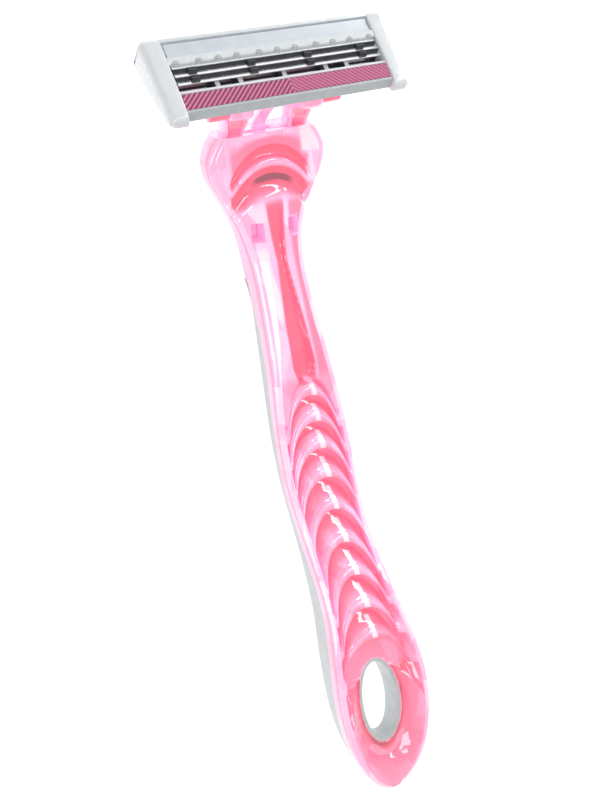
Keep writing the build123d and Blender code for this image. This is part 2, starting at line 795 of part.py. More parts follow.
# ---- guard_strip: pink elastomer with slanting fins, mirrored at the middle -------------------------
guard_middle = (guard_top + guard_bottom) / 2
guard_height = guard_top - guard_bottom - 2 * seat_gap
guard_low = guard_middle - guard_height / 2
guard_high = guard_middle + guard_height / 2
guard_width = recess_width - 6 * seat_gap
pad_thickness = 0.4
ridge_overlap = 0.05
ridge_count = 19
ridge_start = 0.4            # the first ridges stand this far from the middle
with BuildPart() as guard_strip:
    with BuildSketch(face_plane.offset(guard_floor)):
        with Locations((0, guard_middle)):
            Rectangle(guard_width, guard_height)
    extrude(amount=pad_thickness)
    with BuildSketch(face_plane.offset(guard_floor + pad_thickness - ridge_overlap)):
        for index in range(ridge_count):
            for side in (-1, 1):
                high = index * fin_ridge_pitch + ridge_start
                low = high + fin_ridge_lean
                with BuildLine():
                    Polyline(
                        (side * low, guard_low),
                        (side * (low + fin_ridge_width), guard_low),
                        (side * (high + fin_ridge_width), guard_high),
                        (side * high, guard_high),
                        close=True,
                    )
                make_face()
        with Locations((0, guard_middle)):
            Rectangle(guard_width, guard_height, mode=Mode.INTERSECT)
    extrude(amount=pad_thickness)
save(guard_strip, "guard_strip")
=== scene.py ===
"""Looks of the cartridge razor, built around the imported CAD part.

Lengths in the tables are millimetres in the row frame; MM turns them into metres.
"""

import json
from math import cos, pi, radians, sin

import bmesh
import bpy
import numpy as np
from mathutils import Matrix, Vector


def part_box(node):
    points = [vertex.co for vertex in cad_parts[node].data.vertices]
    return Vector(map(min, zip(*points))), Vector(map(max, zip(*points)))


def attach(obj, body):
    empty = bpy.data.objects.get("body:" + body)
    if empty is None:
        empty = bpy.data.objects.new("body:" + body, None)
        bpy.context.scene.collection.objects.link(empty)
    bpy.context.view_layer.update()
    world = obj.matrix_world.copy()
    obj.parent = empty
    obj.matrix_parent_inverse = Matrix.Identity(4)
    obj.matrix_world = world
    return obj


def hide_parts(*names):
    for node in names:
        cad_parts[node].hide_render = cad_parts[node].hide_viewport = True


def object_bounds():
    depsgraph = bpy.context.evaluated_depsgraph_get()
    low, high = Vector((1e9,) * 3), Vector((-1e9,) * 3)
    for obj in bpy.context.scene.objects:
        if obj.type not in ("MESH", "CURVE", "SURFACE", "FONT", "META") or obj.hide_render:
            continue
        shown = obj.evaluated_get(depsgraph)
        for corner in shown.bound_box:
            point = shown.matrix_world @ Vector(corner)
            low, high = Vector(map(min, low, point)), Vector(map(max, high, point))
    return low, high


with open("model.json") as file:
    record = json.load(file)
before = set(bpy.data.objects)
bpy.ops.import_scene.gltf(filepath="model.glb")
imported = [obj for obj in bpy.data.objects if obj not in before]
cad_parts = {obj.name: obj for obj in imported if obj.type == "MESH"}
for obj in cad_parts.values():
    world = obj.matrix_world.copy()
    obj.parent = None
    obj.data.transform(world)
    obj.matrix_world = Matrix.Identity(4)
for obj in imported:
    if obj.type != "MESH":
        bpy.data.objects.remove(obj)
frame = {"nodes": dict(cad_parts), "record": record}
cad_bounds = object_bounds()
MM = 0.001

# ---- places taken from the frame -----------------------------------------------------------
joints = {joint["name"]: joint for joint in frame["record"]["behaviour"]["joints"]}
tail_y = (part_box("handle_shell")[0] / MM).y
pivot = Vector(joints["head_pivot"]["pos_m"]) / MM
slide = Vector(joints["hub_release"]["axis"])
face_tilt = radians(24)
pivot_v, pivot_n = -8.4, -6.9            # the pivot on the face's own axes
v_axis = Vector((0, cos(face_tilt), -sin(face_tilt)))
n_axis = Vector((0, sin(face_tilt), cos(face_tilt)))
face_origin = pivot - v_axis * pivot_v - n_axis * pivot_n
recess_half = 17.5                       # half the width between the end caps
cap_half = 20.7                          # half the width of the whole cartridge
rise = Vector((0, -slide.z, slide.y))
hub_origin = Vector((0, 55.0, 10.6))     # middle of the hood's mouth
plan_matrix = Matrix.Identity(4)


def local_matrix(x_axis, y_axis, origin, start):
    """Matrix with two given local axes, and local z along the blades from start."""
    matrix = Matrix.Identity(4)
    for row in range(3):
        matrix[row][0] = x_axis[row]
        matrix[row][1] = y_axis[row]
        matrix[row][2] = (1, 0, 0)[row]
        matrix[row][3] = (origin + Vector((start, 0, 0)))[row]
    return matrix


def face_matrix(u):
    """Local x up the face, local y out of it, local z along the blades from u."""
    return local_matrix(v_axis, n_axis, face_origin, u)


def hub_matrix(x):
    """Local x out of the hood, local y to its front, local z along the blades from x."""
    return local_matrix(slide, rise, hub_origin, x)


def on_hub(point):
    """s and t of a point of the row frame on the hood's own axes."""
    offset = Vector(point) - hub_origin
    return offset.dot(slide), offset.dot(rise)


# ---- material helpers ------------------------------------------------------------------------
def new_material(name, color, roughness, **inputs):
    """Principled material with some of its shader inputs set."""
    material = bpy.data.materials.new(name)
    material.use_nodes = True
    shader = material.node_tree.nodes["Principled BSDF"]
    shader.inputs["Base Color"].default_value = (*color, 1)
    shader.inputs["Roughness"].default_value = roughness
    for key, value in inputs.items():
        shader.inputs[key.replace("_", " ")].default_value = value
    return material


def add_node(material, kind, **values):
    """Node with some of its properties or inputs set."""
    node = material.node_tree.nodes.new(kind)
    for key, value in values.items():
        if hasattr(node, key):
            setattr(node, key, value)
        else:
            node.inputs[key].default_value = value
    return node


def link(material, source, target):
    material.node_tree.links.new(source, target)


def ramp(material, factor, stops):
    """Colour ramp fed by factor."""
    node = material.node_tree.nodes.new("ShaderNodeValToRGB")
    elements = node.color_ramp.elements
    while len(elements) < len(stops):
        elements.new(0.5)
    for element, (place, color) in zip(elements, stops):
        element.position = place
        element.color = (*color, 1)
    link(material, factor, node.inputs["Fac"])
    return node.outputs["Color"]


def add_grain(material, scale, strength, rough_low, rough_high):
    """Fine moulding grain: noise in the roughness and a faint bump."""
    shader = material.node_tree.nodes["Principled BSDF"]
    place = add_node(material, "ShaderNodeTexCoord").outputs["Object"]
    noise = add_node(material, "ShaderNodeTexNoise", Scale=scale, Detail=4.0)
    link(material, place, noise.inputs["Vector"])
    spread = add_node(material, "ShaderNodeMapRange")
    spread.inputs["To Min"].default_value = rough_low
    spread.inputs["To Max"].default_value = rough_high
    link(material, noise.outputs["Fac"], spread.inputs["Value"])
    link(material, spread.outputs["Result"], shader.inputs["Roughness"])
    bump = add_node(material, "ShaderNodeBump", Strength=strength, Distance=0.0001)
    link(material, noise.outputs["Fac"], bump.inputs["Height"])
    link(material, bump.outputs["Normal"], shader.inputs["Normal"])
    return noise.outputs["Fac"]


def two_tones(material, factor, low, high):
    """Colour that varies between two near tones with factor."""
    return ramp(material, factor, [(0.3, low), (0.7, high)])


def set_color(material, color):
    """Feed color to the shader's base colour."""
    link(material, color, material.node_tree.nodes["Principled BSDF"].inputs["Base Color"])


def tint(material, factor, low, high):
    """Give the whole material two near tones that vary with factor."""
    set_color(material, two_tones(material, factor, low, high))


def painted_tone_of(material):
    """The mesh's own tone of painted shade and painted highlight."""
    return add_node(material, "ShaderNodeAttribute", attribute_name="shade_and_highlight_tone").outputs["Fac"]


def add_share(material, value, share, base):
    """base with a share of value added."""
    node = add_node(material, "ShaderNodeMath", operation="MULTIPLY_ADD")
    link(material, value, node.inputs[0])
    node.inputs[1].default_value = share
    link(material, base, node.inputs[2])
    return node.outputs[0]


# ---- materials -----------------------------------------------------------------------------------
shade_and_highlight_stops = [                           # tone of painted shade and highlight, colour; white and lilac stops are painted highlight, deep stops painted shade
    (0.0, (1.0, 0.95, 1.0)),
    (0.07, (1.0, 0.66, 0.93)),
    (0.15, (1.0, 0.46, 0.7)),
    (0.27, (1.0, 0.27, 0.43)),
    (0.45, (1.0, 0.17, 0.29)),
    (0.7, (1.0, 0.09, 0.16)),
    (0.88, (0.36, 0.05, 0.085)),
    (1.0, (0.16, 0.02, 0.035)),
]
# painted refraction highlights: cells that break the tones into blocks of white, lilac and pink
refraction_glint_stretch = (420.0, 150.0, 300.0)    # cells per metre along x, y and z
refraction_glint_turn = (0.3, 0.2, 0.5)
refraction_glint_share = 0.11
blotch_share = 0.05


def pink_material(name, transmission):
    """Clear pink moulding with a painted glow from its emission, painted lilac reflection on its edges,
    painted shade deeper in its hollows and patches of painted refraction highlight.
    """
    # the pink emission is a painted glow; the moulding is no lamp
    material = new_material(
        name, (1.0, 0.35, 0.5), 0.06, IOR=1.5, Transmission_Weight=transmission, Coat_Weight=1.0,
        Coat_Roughness=0.05, Coat_IOR=1.7, Emission_Color=(1.0, 0.32, 0.46, 1),
        Emission_Strength=0.24,
    )
    noise = add_grain(material, 900.0, 0.02, 0.04, 0.1)
    place = add_node(material, "ShaderNodeTexCoord").outputs["Object"]
    stretch = add_node(material, "ShaderNodeMapping")
    stretch.inputs["Scale"].default_value = refraction_glint_stretch
    stretch.inputs["Rotation"].default_value = refraction_glint_turn
    link(material, place, stretch.inputs["Vector"])
    cells = add_node(material, "ShaderNodeTexVoronoi", Scale=1.0)
    link(material, stretch.outputs["Vector"], cells.inputs["Vector"])
    patch = add_node(material, "ShaderNodeSeparateColor")
    link(material, cells.outputs["Color"], patch.inputs["Color"])
    with_refraction_glints = add_share(material, patch.outputs["Red"], refraction_glint_share, painted_tone_of(material))
    blotched = add_share(material, noise, blotch_share, with_refraction_glints)
    set_color(material, ramp(material, blotched, shade_and_highlight_stops))
    return material


clear_pink = pink_material("clear_pink", 0.1)

white = new_material("white_plastic", (0.86, 0.88, 0.9), 0.25, Coat_Weight=0.4, Coat_Roughness=0.12)
tint(white, add_grain(white, 700.0, 0.03, 0.2, 0.32), (0.66, 0.69, 0.71), (0.71, 0.735, 0.755))
# greyer copy of the white plastic: painted shade on the back grip
back_white_shaded = new_material("back_white_shaded", (0.55, 0.59, 0.595), 0.3, Coat_Weight=0.3, Coat_Roughness=0.15)
tint(back_white_shaded, add_grain(back_white_shaded, 600.0, 0.03, 0.25, 0.36), (0.52, 0.56, 0.565), (0.58, 0.62, 0.625))
grey = new_material("grey_plastic", (0.32, 0.36, 0.35), 0.4)
tint(grey, add_grain(grey, 900.0, 0.05, 0.35, 0.5), (0.42, 0.46, 0.465), (0.47, 0.51, 0.515))
black = new_material("black_plastic", (0.02, 0.02, 0.024), 0.4)
tint(black, add_grain(black, 900.0, 0.05, 0.35, 0.5), (0.014, 0.014, 0.017), (0.03, 0.03, 0.034))
elastomer_shade_stops = [                      # tone of painted shade, colour
    (0.0, (0.9, 0.34, 0.55)),
    (0.45, (0.66, 0.22, 0.36)),
    (1.0, (0.42, 0.14, 0.24)),
]


def elastomer_material():
    """Soft pink of the guard strip, with painted shade between its fins."""
    material = new_material("pink_elastomer", (0.7, 0.18, 0.36), 0.5)
    grain = add_grain(material, 1200.0, 0.04, 0.45, 0.6)
    toned = add_share(material, grain, 0.12, painted_tone_of(material))
    set_color(material, ramp(material, toned, elastomer_shade_stops))
    return material


elastomer = elastomer_material()
strip_wax = new_material("strip_polymer", (0.66, 0.7, 0.74), 0.45)
tint(strip_wax, add_grain(strip_wax, 500.0, 0.06, 0.4, 0.55), (0.56, 0.605, 0.65), (0.62, 0.665, 0.71))
steel = new_material("blade_steel", (0.8, 0.82, 0.84), 0.22, Metallic=1.0)
tint(steel, add_grain(steel, 1500.0, 0.03, 0.15, 0.3), (0.76, 0.78, 0.8), (0.86, 0.87, 0.88))


# band of painted shade in the gap below the blades, centred at this height
gap_middle = -1.65                       # height on the face's own axis, mm
gap_half, gap_fade = 0.8, 0.1


def gap_material():
    """White moulding with painted dark grey shade in the gap below the blades."""
    material = new_material(
        "base_plastic_gap_shade", (0.8, 0.82, 0.84), 0.25, Coat_Weight=0.4, Coat_Roughness=0.12
    )
    grain = add_grain(material, 700.0, 0.03, 0.2, 0.32)
    pale = two_tones(material, grain, (0.68, 0.71, 0.73), (0.73, 0.755, 0.775))
    painted_gap_shade = two_tones(material, grain, (0.045, 0.045, 0.05), (0.07, 0.07, 0.076))
    place = add_node(material, "ShaderNodeTexCoord").outputs["Object"]
    height = add_node(material, "ShaderNodeVectorMath", operation="DOT_PRODUCT")
    height.inputs[1].default_value = n_axis
    link(material, place, height.inputs[0])
    middle = add_node(material, "ShaderNodeMath", operation="SUBTRACT")
    link(material, height.outputs["Value"], middle.inputs[0])
    middle.inputs[1].default_value = face_origin.dot(n_axis) * MM + gap_middle * MM
    distance = add_node(material, "ShaderNodeMath", operation="ABSOLUTE")
    link(material, middle.outputs[0], distance.inputs[0])
    spread = add_node(material, "ShaderNodeMapRange")
    spread.inputs["From Min"].default_value = gap_half * MM
    spread.inputs["From Max"].default_value = (gap_half + gap_fade) * MM
    link(material, distance.outputs[0], spread.inputs["Value"])
    # painted shade mixed in across the gap
    mix = add_node(material, "ShaderNodeMix", data_type="RGBA")
    link(material, spread.outputs["Result"], mix.inputs[0])
    link(material, painted_gap_shade, mix.inputs[6])
    link(material, pale, mix.inputs[7])
    set_color(material, mix.outputs[2])
    return material


base_plastic_gap_shade = gap_material()


def paint(name, material):
    """Give a carried-over CAD node its finished material."""
    mesh = frame["nodes"][name].data
    mesh.materials.clear()
    mesh.materials.append(material)


# ---- mesh helpers -----------------------------------------------------------------------------
def curve(points):
    """Smooth function through (y, value) points."""
    places, values = np.array(sorted(points)).T
    slopes = np.gradient(values, places)

    def value(t):
        t = np.clip(t, places[0], places[-1])
        index = np.clip(np.searchsorted(places, t) - 1, 0, len(places) - 2)
        width = places[index + 1] - places[index]
        u = (t - places[index]) / width
        start = values[index] * (1 + 2 * u) * (1 - u) ** 2 + slopes[index] * width * u * (1 - u) ** 2
        end = values[index + 1] * u * u * (3 - 2 * u) + slopes[index + 1] * width * u * u * (u - 1)
        return start + end

    return value


def smooth_step(low, high, value):
    """0 at low, 1 at high and smooth between them; low may be the larger."""
    t = np.clip((value - low) / (high - low), 0, 1)
    return t * t * (3 - 2 * t)


def make_object(name, mesh, material, body, replaced=()):
    """Object on a body, with its material and the CAD nodes that it stands for."""
    item = bpy.data.objects.new(name, mesh)
    bpy.context.scene.collection.objects.link(item)
    item.data.materials.append(material)
    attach(item, body)
    if replaced:
        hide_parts(*replaced)
    return item


def shade(item, angle=35):
    """Smooth shading with sharp edges past an angle."""
    for polygon in item.data.polygons:
        polygon.use_smooth = True
    item.data.set_sharp_from_angle(angle=radians(angle))


def tube_mesh(name, loops, shade_and_highlight_tone=None):
    """Closed mesh through loops of equal length, capped at both ends. Loops are in mm."""
    rows, columns, _ = loops.shape
    points = loops.reshape(-1, 3) * MM
    faces = []
    for row in range(rows - 1):
        for column in range(columns):
            after = (column + 1) % columns
            near, far = row * columns, (row + 1) * columns
            faces.append((near + column, near + after, far + after, far + column))
    faces.append(tuple(range(columns))[::-1])
    faces.append(tuple((rows - 1) * columns + column for column in range(columns)))
    mesh = bpy.data.meshes.new(name)
    mesh.from_pydata(points.tolist(), [], faces)
    # optional per-point tone of painted shade and painted highlight
    if shade_and_highlight_tone is not None:
        attribute = mesh.attributes.new("shade_and_highlight_tone", "FLOAT", "POINT")
        attribute.data.foreach_set("value", shade_and_highlight_tone.reshape(-1).astype(np.float32))
    work = bmesh.new()
    work.from_mesh(mesh)
    bmesh.ops.recalc_face_normals(work, faces=work.faces)
    work.to_mesh(mesh)
    work.free()
    return mesh


bevelled_turn = radians(25)


def prism_mesh(name, outline, matrix, length, bevel):
    """Closed prism of an outline along local z, its sharp edges rounded. Outline in mm."""
    work = bmesh.new()
    low = [work.verts.new(matrix @ Vector((a, b, 0)) * MM) for a, b in outline]
    high = [work.verts.new(matrix @ Vector((a, b, length)) * MM) for a, b in outline]
    work.faces.new(low[::-1])
    work.faces.new(high)
    for index in range(len(outline)):
        after = (index + 1) % len(outline)
        work.faces.new((low[index], low[after], high[after], high[index]))
    bmesh.ops.recalc_face_normals(work, faces=work.faces)
    if bevel:
        sharp = [edge for edge in work.edges if edge.calc_face_angle(0) > bevelled_turn]
        bmesh.ops.bevel(
            work, geom=sharp, offset=bevel * MM, segments=3, profile=0.5, affect="EDGES",
            clamp_overlap=True,
        )
    mesh = bpy.data.meshes.new(name)
    work.to_mesh(mesh)
    work.free()
    return mesh


def prism(name, outline, matrix, length, bevel, material, body, replaced=()):
    """Prism as a finished piece."""
    mesh = prism_mesh(name, outline, matrix, length, bevel)
    item = make_object(name, mesh, material, body, replaced)
    shade(item)
    return item


def tone_all(item, tone):
    """One tone of painted shade for a whole piece."""
    attribute = item.data.attributes.new("shade_and_highlight_tone", "FLOAT", "POINT")
    attribute.data.foreach_set("value", np.full(len(item.data.vertices), tone, np.float32))


def cut(item, cutters):
    """Subtract cutter meshes from item."""
    for mesh in cutters:
        tool = bpy.data.objects.new("cutter", mesh)
        bpy.context.scene.collection.objects.link(tool)
        modifier = item.modifiers.new("cut", "BOOLEAN")
        modifier.operation = "DIFFERENCE"
        modifier.solver = "MANIFOLD"
        modifier.object = tool
        graph = bpy.context.evaluated_depsgraph_get()
        result = bpy.data.meshes.new_from_object(item.evaluated_get(graph))
        item.modifiers.clear()
        item.data = result
        bpy.data.objects.remove(tool)


def table(places, points):
    """Straight-line function through (y, value) points."""
    known, values = zip(*points)
    return np.interp(places, known, values)


def ellipse(half_x, half_y, centre_y, count=72):
    """Points of an ellipse in plan, as (x, y)."""
    turn = [2 * pi * index / count for index in range(count)]
    return [(half_x * cos(a), centre_y + half_y * sin(a)) for a in turn]


# ---- handle: side lines and outline, y against height or half width ---------------------------
half_width_at = curve([
    (-63.5, 8.1), (-60.0, 8.9), (-56.0, 9.5), (-51.0, 9.65), (-46.0, 9.35), (-39.0, 8.4), (-34.0, 7.5),
    (-28.0, 6.95), (-22.0, 6.75), (-17.0, 6.85), (-6.0, 7.2), (4.0, 6.85), (10.0, 6.3), (16.0, 5.75),
    (22.0, 5.3), (27.0, 5.0), (33.5, 5.05), (38.6, 6.0), (41.0, 6.85), (43.0, 7.95), (45.0, 9.1),
    (47.0, 10.15), (48.8, 10.75), (50.5, 10.8), (52.0, 10.2), (53.3, 9.3), (54.2, 8.4), (56.4, 6.9),
])
tail_centre = -50.0                      # the tail is round about this place
tail_start = -63.0
tail_length = tail_centre - tail_y
tail_scale = 9.75


def width_at(y):
    """Half width of the handle, with a round tail."""
    inside = np.clip(1 - ((tail_centre - y) / tail_length) ** 2, 0, 1)
    return np.where(y < tail_start, tail_scale * np.sqrt(inside), half_width_at(y))


top_at = curve([
    (-74.0, 10.4), (-68.0, 12.3), (-60.0, 13.4), (-52.0, 13.9), (-45.0, 13.9), (-40.0, 13.5),
    (-35.0, 12.7), (-30.0, 11.5), (-25.0, 10.0), (-20.0, 8.5), (-14.0, 7.5), (-8.0, 7.15),
    (0.0, 7.4), (8.0, 8.1), (16.0, 8.6), (22.0, 8.5), (27.0, 8.35), (34.0, 8.5), (38.4, 9.1),
    (43.0, 10.2), (47.0, 11.35), (51.0, 12.5), (54.0, 13.45),
])
seam_at = curve([
    (-74.0, 8.6), (-62.0, 10.1), (-52.0, 10.5), (-40.0, 10.2), (-30.0, 8.0), (-20.0, 4.9),
    (-10.0, 3.5), (-2.0, 3.7), (8.0, 4.2), (16.0, 4.2), (22.0, 3.8), (26.0, 3.0), (31.0, 1.2),
])
belly_at = curve([
    (-74.0, 6.8), (-60.0, 5.8), (-50.0, 5.2), (-40.0, 3.9), (-30.0, 1.9), (-20.0, 0.5), (-7.0, 0.0),
    (5.0, 0.0), (20.0, 0.0), (30.0, 0.7), (38.0, 2.0), (47.0, 4.4), (56.2, 7.41),
])
back_start = 31.0                        # the white back grip runs from here to the tail
hood_start = 38.0

# ---- handle: rows, each a place along the handle, its drop below the surface and its tone of painted shade and highlight ---
hood_rows = [                        # place, drop, tone of painted shade and highlight
    (52.12, 0.1, 0.25), (52.0, 0.3, 0.35), (51.93, 0.7, 0.5), (51.85, 1.0, 0.6),
    (51.6, 1.1, 0.62), (51.1, 1.12, 0.6), (50.6, 1.1, 0.55), (50.3, 1.0, 0.5), (50.1, 0.7, 0.35),
    (49.9, 0.4, 0.2), (49.6, 0.22, 0.1), (49.2, 0.16, 0.05), (48.8, 0.22, 0.15), (48.6, 0.4, 0.25),
    (48.5, 0.7, 0.4), (48.42, 0.9, 0.58), (48.1, 0.95, 0.6), (47.8, 0.95, 0.6), (47.5, 0.95, 0.6),
    (47.4, 1.05, 0.85), (47.3, 1.2, 1.0), (46.9, 1.25, 1.0), (46.5, 1.25, 0.92), (46.3, 1.2, 0.7),
    (46.0, 1.15, 0.6), (45.7, 1.05, 0.55), (45.4, 0.9, 0.5), (45.1, 0.7, 0.4), (44.8, 0.5, 0.3),
    (44.5, 0.3, 0.2), (44.1, 0.12, 0.12), (43.6, 0.03, 0.05), (43.0, 0.0, 0.05), (42.4, 0.0, 0.05),
    (41.8, 0.0, 0.08), (41.2, 0.0, 0.1), (40.6, 0.0, 0.1), (40.0, 0.0, 0.1), (39.4, 0.0, 0.1),
]
fin_apexes = (8.3, 3.2, -2.2, -8.0, -14.4, -20.9, -27.2, -33.6, -40.0)
crest_rows = [                       # towards the head first; offset, drop, tone of painted shade and highlight
    (3.1, 1.25, 0.25), (2.75, 0.85, 0.2), (2.45, 0.55, 0.15), (2.2, 0.42, 0.12), (1.95, 0.4, 0.15),
    (1.8, 0.3, 0.12), (1.6, 0.1, 0.05), (1.3, 0.02, 0.05), (1.0, 0.0, 0.1), (0.7, 0.0, 0.15),
    (0.4, 0.05, 0.2), (0.15, 0.18, 0.2), (0.0, 0.4, 0.3), (0.0, 0.9, 0.5), (0.15, 1.5, 0.7),
    (0.25, 2.1, 0.8), (0.05, 2.4, 0.8), (-0.4, 2.45, 0.7), (-0.9, 2.35, 0.62), (-1.4, 2.15, 0.55),
]
fin_reach = 3.4                          # how far a fin's rows start ahead of its apex
valley_start, valley_end = 2.1, 1.6      # drop of the floor between two fins
valley_deeper, crest_deeper = 0.1, 0.25
last_valley = -47.0                      # where the last floor has risen to the surface
plain_tone, tail_tone = 0.12, 0.15
seam_gap = 0.03


def fin_rows(apex, after, drop_after):
    """Rows over one fin and along the floor that follows it, which ends at after."""
    found = [(apex + offset, drop + crest_deeper, tone) for offset, drop, tone in crest_rows]
    start = apex - 1.8
    for share in np.linspace(0, 1, 6):
        drop = valley_start + (drop_after - valley_start) * share
        found.append((start + (after - start) * share, drop + valley_deeper, 0.5 - 0.2 * share))
    return found


rows = [(y, 0.0, 0.28 * float(smooth_step(53.6, 52.8, y))) for y in np.arange(54.0, 52.15, -0.1)]
rows += hood_rows
rows += [(y, 0.0, plain_tone) for y in np.arange(39.0, back_start + 0.3, -0.5)]
rows += [(back_start + seam_gap, 0.0, plain_tone), (back_start - seam_gap, 0.0, plain_tone)]
rows += [(y, 0.0, plain_tone) for y in np.arange(back_start - 0.5, fin_apexes[0] + fin_reach, -0.5)]
for apex, following in zip(fin_apexes, fin_apexes[1:]):
    rows += fin_rows(apex, following + fin_reach, valley_end)
rows += fin_rows(fin_apexes[-1], last_valley, 0.0)
rows += [(y, 0.0, tail_tone) for y in np.arange(-47.5, -66.0, -0.45)]
rows += [(tail_y + 8.0 * (1 - sin(a)), 0.0, tail_tone) for a in np.linspace(0.02, pi / 2 - 0.06, 22)]

# ---- handle: columns across the top, then down the side and under ----------------------------------
inner_count = 29
rail_foot, rail_foot_most = 1.35, 0.45   # in from the edge, and the most as a share of the width
rail_lines = [                           # in from the edge, most, fall below the top surface
    (1.15, 0.38, 0.12),
    (0.95, 0.31, 0.02),
]
edge_round, edge_round_most = 0.8, 0.26
# painted reflection along the rounded edges, with a darker line at their foot
edge_tones = [0.0, 0.0, 0.0, 0.0, 0.08, 0.35]
inner_share = np.linspace(-1, 1, 2 * inner_count + 1)
arc = np.linspace(0, pi / 2, 6)
side_steps = np.linspace(0.12, 0.92, 5)
under_count = 12
# painted shade, a little darker down the side and under the handle
side_tone, under_round_tone, under_tone = 0.1, 0.15, 0.2
seam_round, neck_round, hood_round = 0.25, 1.35, 1.6
neck_rounding, hood_rounding = (25.0, 30.5), (34.0, 42.0)
mouth_lean = (36.0, 54.0)
grip_arch_drop, hood_arch_drop = 11.0, 9.9
grip_arch_inset, hood_arch_half = 1.05, 8.7
grip_arch_most, hood_arch_most = 0.96, 0.92
grip_arch_in, grip_arch_out = (26.0, 11.6), (-60.0, -47.0)
hood_arch_in, hood_arch_out = (54.0, 52.2), (30.5, 42.0)


def arch(share):
    """How far a quarter circle lags at a share of its half width."""
    return 1 - np.sqrt(1 - share ** 2)


def arch_warp(place, x):
    """How far the rows lag towards the tail at x, as arches."""
    grip = smooth_step(*grip_arch_in, place) * smooth_step(*grip_arch_out, place)
    hood = smooth_step(*hood_arch_in, place) * smooth_step(*hood_arch_out, place)
    grip_half = np.maximum(width_at(place) - grip_arch_inset, 1.0)
    grip_share = np.minimum(np.abs(x) / grip_half, grip_arch_most)
    hood_share = np.minimum(np.abs(x) / hood_arch_half, hood_arch_most)
    return grip * grip_arch_drop * arch(grip_share) + hood * hood_arch_drop * arch(hood_share)


def solve_row(place, across):
    """x and y of a row's points; across(w) gives x for the half width."""
    y = np.full(np.shape(across(1.0)), place, float)
    x = across(width_at(y))
    for _ in range(12):
        y = place - arch_warp(place, x)
        x = across(width_at(y))
    return x, y


crown_at = curve([                       # extra fall of the top surface from the middle to the edge
    (-74.0, 0.2), (-40.0, 0.15), (-25.0, 0.5), (-14.0, 0.8), (8.0, 1.0), (22.0, 1.4), (34.0, 1.5),
    (38.4, 1.7), (43.0, 1.4), (47.0, 0.9), (54.0, 0.35),
])
groove_start, groove_end = 10.5, 43.4    # the groove from the dome down the neck
groove_run = [
    (10.6, 1.2), (14.0, 1.95), (22.0, 1.55), (30.0, 0.85), (33.0, 0.6), (38.0, 1.0), (42.5, 1.3),
]
groove_half_table = sorted(groove_run + [(11.2, 1.6), (43.4, 0.2)])
groove_depth_table = [
    (10.5, 0.0), (10.9, 1.5), (14.0, 1.6), (24.0, 1.3), (31.0, 0.8), (36.0, 0.9), (41.0, 0.8),
    (43.4, 0.0),
]
dish_depth_table = [
    (-74.0, 0.2), (-70.0, 0.9), (-67.0, 2.2), (-63.5, 3.0), (-46.0, 3.1), (-40.0, 1.2), (-34.0, 0.6),
    (-20.0, 0.0),
]
dish_wall_table = [(-68.0, 1.5), (-63.0, 4.2), (-50.0, 4.6), (-44.0, 6.0)]
hole_y, hole_half_x, hole_half_y = -54.0, 3.8, 8.6
crescent_half_x, crescent_half_y = 5.2, 12.2
crescent_depth, crescent_width = 0.9, 0.08
crescent_fade = (-62.0, -64.5)
crown_fade = (6.7, 7.7)                  # from the hood's crown to its cheeks, across


def ring_reach(x, y, half_x, half_y):
    """Distance from the hole's centre, 1 on the ellipse of these half widths."""
    return np.sqrt((x / half_x) ** 2 + ((y - hole_y) / half_y) ** 2)


def crown_share(x):
    """1 over the hood's crown, 0 on its cheeks."""
    return 1 - smooth_step(*crown_fade, np.abs(x))


def surface_drop(x, y, drop, width):
    """Depth of the top surface below the top line, with every hollow."""
    away = np.abs(x)
    on_hood = smooth_step(hood_start, 40.0, y)
    hollow = drop * np.where(on_hood > 0, crown_share(x), 1.0)
    groove_half = table(y, groove_half_table)
    groove = table(y, groove_depth_table)
    groove = groove * (1 - smooth_step(groove_half - 0.35, groove_half + 0.1, away))
    hollow = hollow + np.where((y > groove_start) & (y < groove_end), groove, 0)
    wall = table(y, dish_wall_table)
    dish = 1 - smooth_step(wall, np.maximum(width - 1.0, wall + 0.5), away)
    dish = table(y, dish_depth_table) * dish
    reach = ring_reach(x, y, crescent_half_x, crescent_half_y)
    crescent = crescent_depth * np.exp(-((reach - 1.0) / crescent_width) ** 2)
    return hollow + dish + crescent * smooth_step(*crescent_fade, y)


# ---- handle: tones of painted shade, highlight and reflection --------------------------------
# glare and glint tones are painted highlights, the edge tone a painted reflection
base_tone, edge_tone, glare_tone, glint_tone, rim_tone = 0.1, 0.04, -0.1, -0.12, 0.76
salmon_tone = 0.22                       # painted cavity shade deeper than this is narrowed
rim_width = 0.72                         # of the ring that lines the hanging hole
rim_fade = (1.22, 1.08)
hollow_shade_tone = 0.07                       # painted shade, deeper by this much for each millimetre of hollow
grip_flank_end, grip_glint_end = -44.0, -42.0
# paler flanks and crests of the grip: painted reflection and highlight
flank_paleness, crest_paleness = 0.65, 0.65
glint_rise, glint_fall = (0.35, 0.6), (1.7, 1.4)
# painted shade in the cavity at each fin's apex
cavity_shift, cavity_fade, cavity_share = 0.5, (2.0, 0.8), 0.8
# darkest painted shade, in the hood's hollow
deepest_tone, deepest_shift, deepest_fade = 0.8, 0.6, (4.8, 2.4)
neck_in, neck_out = (11.0, 13.0), (43.5, 42.0)
# painted shade in the neck's groove and on its right flank
groove_tone, right_flank_tone, right_flank = 0.5, 0.28, (2.2, 3.2)
# painted reflection on the hood's cheeks
cheek_along, cheek_across = (43.0, 45.5), (6.6, 7.6)
# painted highlights at the mouth and on the neck
mouth_glare_across, mouth_glare_along = (5.2, 6.4), (49.0, 50.5)
neck_glare_across, neck_glare_in, neck_glare_out = (-1.8, -2.6), (22.0, 27.0), (37.0, 34.0)


def toward(tones, target, share):
    """tones moved to target by share."""
    return tones + (target - tones) * share


